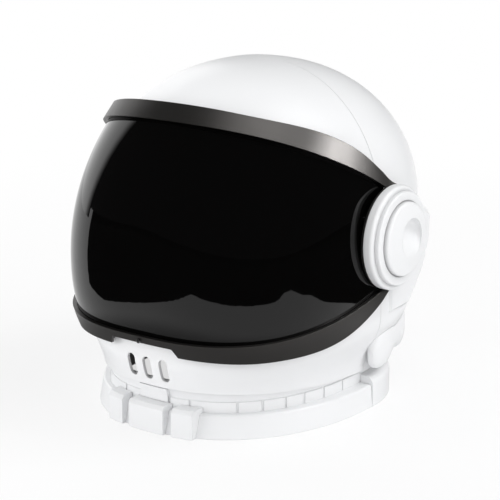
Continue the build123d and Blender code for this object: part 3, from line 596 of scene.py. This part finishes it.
for vertex in cloth.data.vertices:
    number = round((vertex.co.x + 1) / 2 * dark_sheet_strips)
    x, y = dark_sheet_edge[number]
    if vertex.co.y > 0:
        angle = dark_sheet_from + dark_sheet_step * number
        x, y = math.cos(angle) * dark_sheet_reach, math.sin(angle) * dark_sheet_reach
    vertex.co = (x, y, dark_sheet_height)
# Painted reflection: this black shows only where polished surfaces mirror the sheet.
dark_sheet_paint = bpy.data.materials.new("dark reflection sheet")
dark_sheet_paint.use_nodes = True
dark_sheet_shader = dark_sheet_paint.node_tree.nodes["Principled BSDF"]
dark_sheet_shader.inputs["Base Color"].default_value = (0.012, 0.012, 0.012, 1)
dark_sheet_shader.inputs["Roughness"].default_value = 1.0
dark_sheet_shader.inputs["Specular IOR Level"].default_value = 0.0
cloth.data.materials.append(dark_sheet_paint)
cloth.visible_camera = False
cloth.visible_diffuse = False
cloth.visible_shadow = False
cloth.visible_transmission = False

# Light: a dim room that the camera sees white, and six large soft lamps. Polished surfaces
# mirror the ones on the right, above the brow and overhead, but not the fills in front and
# at the side. The lens gets no light from the lamp above the brow.
helmet_middle = Vector((0, 0, 0.15))
room_light = 0.43
room_mirrored = 0.03
world = bpy.data.worlds.new("room")
bpy.context.scene.world = world
world.use_nodes = True
room = world.node_tree.nodes["Background"]
room.inputs["Color"].default_value = (1, 1, 1, 1)
room_rays = world.node_tree.nodes.new("ShaderNodeLightPath").outputs
room_level = ranged(world.node_tree, room_rays["Is Glossy Ray"], low=room_light, high=room_mirrored)
room_seen = combined(world.node_tree, "MAXIMUM", room_level, room_rays["Is Camera Ray"])
world.node_tree.links.new(room_seen, room.inputs["Strength"])


def soft_lamp(name, place, width, height, power, mirrored):
    """Large soft lamp that faces the helmet; polished surfaces mirror it or not."""
    bpy.ops.object.light_add(type="AREA", location=place)
    lamp = bpy.context.object
    lamp.name = name
    lamp.data.shape = "RECTANGLE"
    lamp.data.size = width
    lamp.data.size_y = height
    lamp.data.energy = power
    lamp.rotation_euler = (helmet_middle - Vector(place)).to_track_quat("-Z", "Y").to_euler()
    lamp.visible_glossy = mirrored
    return lamp


soft_lamp("right lamp", (1.36, 0.72, 2.0), width=1.1, height=1.1, power=14, mirrored=True)
brow_lamp = soft_lamp(
    "brow lamp", (1.54, 0.0, 2.12), width=1.2, height=1.2, power=6.5, mirrored=True
)
all_but_lens = bpy.data.collections.new("brow_lamp_receivers")
all_but_lens.objects.link(frame["nodes"]["visor_lens"])
all_but_lens.collection_objects[0].light_linking.link_state = "EXCLUDE"
brow_lamp.light_linking.receiver_collection = all_but_lens
soft_lamp("top fill", (0.0, 0.6, 3.4), width=4.0, height=4.0, power=8, mirrored=True)
soft_lamp("front fill", (0.9, -3.0, 1.4), width=3.0, height=2.4, power=22, mirrored=False)
soft_lamp("front left fill", (-2.0, -2.4, 0.9), width=2.4, height=2.0, power=46, mirrored=False)
soft_lamp("side fill", (3.2, 0.2, 1.2), width=2.4, height=2.0, power=31, mirrored=False)

# Band lamps: a wide one above and a small one on the right that only the black frame
# catches, for the long sheen and the bright spot on its brow band.
frame_only = bpy.data.collections.new("glint_receivers")
frame_only.objects.link(visor_frame)
glint_lamp = soft_lamp(
    "glint lamp", (2.14, 1.14, 1.08), width=0.5, height=0.4, power=56, mirrored=True
)
glint_lamp.light_linking.receiver_collection = frame_only
sheen_lamp = soft_lamp(
    "sheen lamp", (1.34, -0.5, 2.2), width=1.8, height=1.5, power=22, mirrored=True
)
sheen_lamp.light_linking.receiver_collection = frame_only

# Left card: a tall white card lit from behind, fading towards one edge, which the visor
# mirrors along its left edge. The camera doesn't see it.
bpy.ops.mesh.primitive_plane_add(size=1.0)
left_card = bpy.context.object
left_card.name = "left_card"
left_card.scale = (3.0, 2.6, 1)
left_card.location = (-2.3, 0.7, 1.0)
facing_helmet = (helmet_middle - left_card.location).to_track_quat("Z", "Y")
left_card.rotation_euler = facing_helmet.to_euler()
card_glow = bpy.data.materials.new("lit white card")
card_glow.use_nodes = True
card_tree = card_glow.node_tree
card_place = card_tree.nodes.new("ShaderNodeTexCoord")
card_across = card_tree.nodes.new("ShaderNodeSeparateXYZ")
card_tree.links.new(card_place.outputs["Object"], card_across.inputs[0])
card_fade = ranged(
    card_tree, card_across.outputs["X"], low=0.0, high=1.3, start=-0.5, end=-0.3, soft_ends=True
)
card_light = card_tree.nodes.new("ShaderNodeEmission")
card_tree.links.new(card_fade, card_light.inputs["Strength"])
card_tree.links.new(
    card_light.outputs["Emission"], card_tree.nodes["Material Output"].inputs["Surface"]
)
left_card.data.materials.append(card_glow)
left_card.visible_camera = False

# Camera: it stands at the photograph's place, about 1.3 m off, and looks a little down at
# the helmet's front and its left side through a short telephoto lens.
looking_down = math.radians(14.47)
turned_left = math.radians(36)
bpy.ops.object.camera_add(location=(0.75235, -1.04333, 0.45644))
camera = bpy.context.object
camera.rotation_euler = (math.radians(90) - looking_down, 0, turned_left)
camera.data.sensor_width = 36
camera.data.lens = 105.5
bpy.context.scene.camera = camera
bpy.context.scene.view_settings.view_transform = "Standard"
